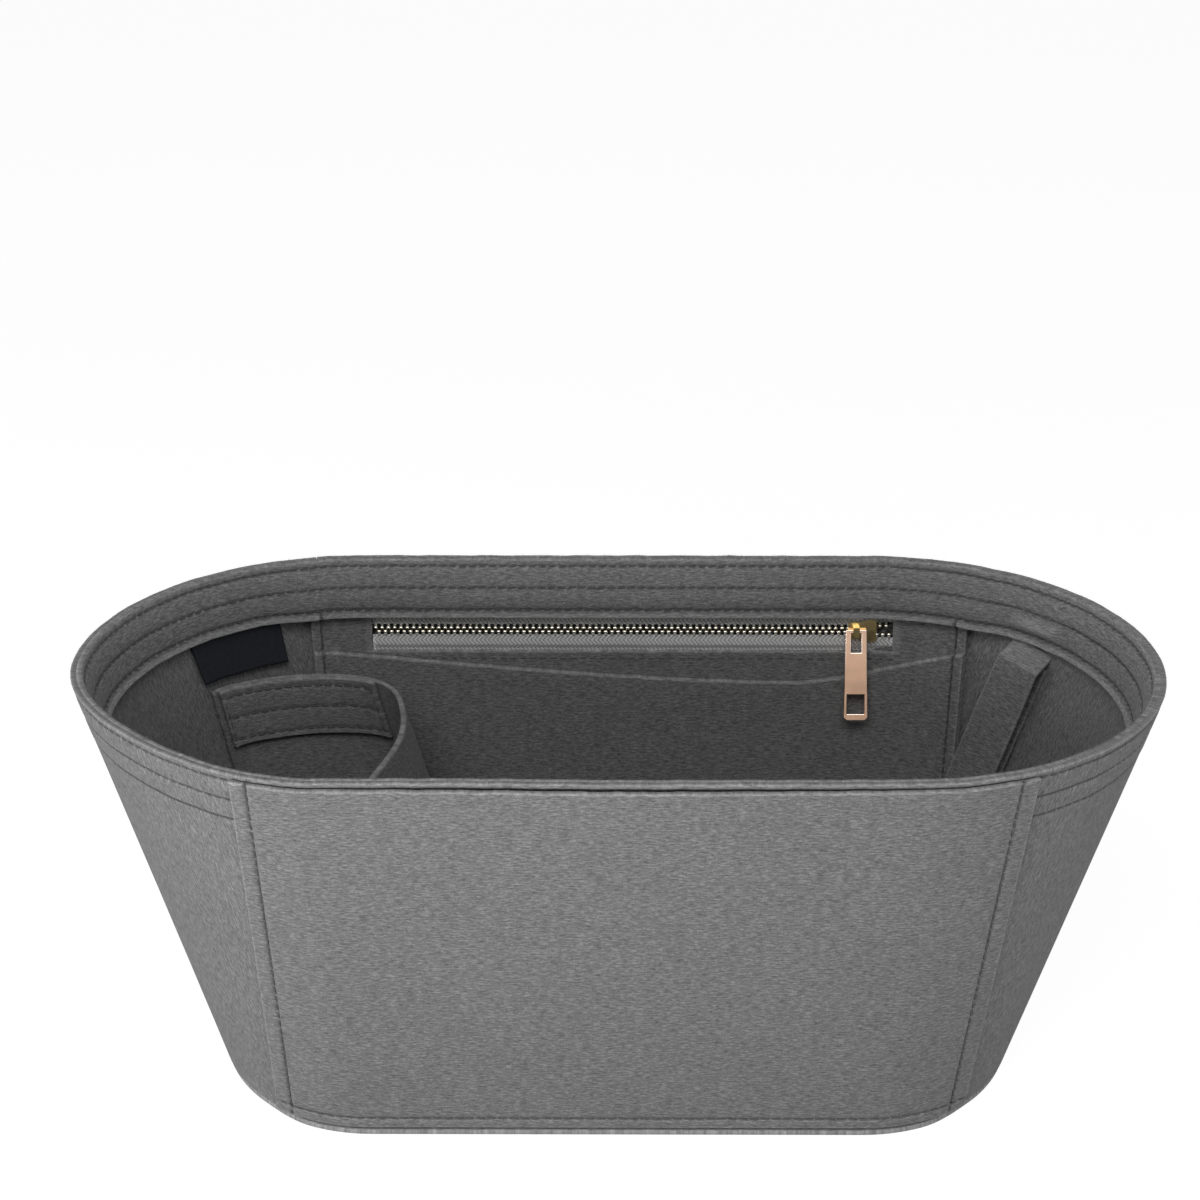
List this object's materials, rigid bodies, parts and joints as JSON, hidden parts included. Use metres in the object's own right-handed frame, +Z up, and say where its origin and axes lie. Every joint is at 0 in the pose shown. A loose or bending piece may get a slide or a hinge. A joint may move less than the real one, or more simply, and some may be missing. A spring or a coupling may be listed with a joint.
{
  "type": "purse organizer insert",
  "caption": "Tapered felt bag insert with outer slip pockets, an inside zip pocket, a slip pocket, a bottle holder and a key strap with a snap hook.",
  "frame": {"origin": "middle of the base panel's underside", "axes": "+X along the length towards the key strap, +Y towards the zip pocket, +Z up"},
  "size_m": [0.4, 0.1994, 0.16],
  "materials": {
    "felt": "pressed wool-like felt, matt, fine fibres",
    "zipper_tape": "herringbone woven tape",
    "label_weave": "fine satin weave, bare",
    "zipper_teeth": "polished gold tone",
    "gold_metal": "polished gold plate",
    "rose_metal": "polished rose gold plate"
  },
  "bodies": {
    "insert": {"base_panel": "felt", "front_wall": "felt", "right_end_wall": "felt", "back_wall": "felt", "left_end_wall": "felt", "rim_band_back": "felt", "rim_band_front": "felt", "front_pocket_panel": "felt", "back_pocket_panel": "felt", "zip_pocket_panel": "felt", "slip_pocket_panel": "felt", "bottle_holder_wall": "felt", "bottle_holder_band": "felt", "label": "label_weave", "zipper_tape_upper": "zipper_tape", "zipper_tape_lower": "zipper_tape", "zipper_teeth_upper": "zipper_teeth", "zipper_teeth_lower": "zipper_teeth"},
    "zip_slider": {"slider_body": "gold_metal"},
    "zip_pull": {"pull_tab": "rose_metal"},
    "strap": {"key_strap": "felt"},
    "hook": {"snap_hook": "gold_metal", "gate_pin": "gold_metal"},
    "gate": {"hook_gate": "gold_metal"}
  },
  "joints": [
    {"name": "zip_slide", "type": "slide", "parent": "insert", "child": "zip_slider", "axis": [-1, 0, 0], "range_m": [0, 0.189], "deforming": ["zipper_teeth_upper", "zipper_teeth_lower"]},
    {"name": "pull_swing", "type": "hinge", "parent": "zip_slider", "child": "zip_pull", "pos_m": [0.0964, 0.0844, 0.13153], "axis": [-1, 0, 0], "range_deg": [0, 135]},
    {"name": "strap_swing", "type": "hinge", "parent": "insert", "child": "strap", "pos_m": [0.16098, 0.05905, 0.13395], "axis": [-0.728, 0.657, 0.196], "range_deg": [0, 100]},
    {"name": "hook_swing", "type": "hinge", "parent": "strap", "child": "hook", "pos_m": [0.13557, 0.05184, 0.06375], "axis": [-0.728, 0.657, 0.196], "range_deg": [0, 110]},
    {"name": "gate_open", "type": "hinge", "parent": "hook", "child": "gate", "pos_m": [0.12568, 0.0549, 0.05142], "axis": [-0.5963, -0.7473, 0.2931], "range_deg": [0, 35], "stiffness_Nm_per_rad": 0.004}
  ]
}
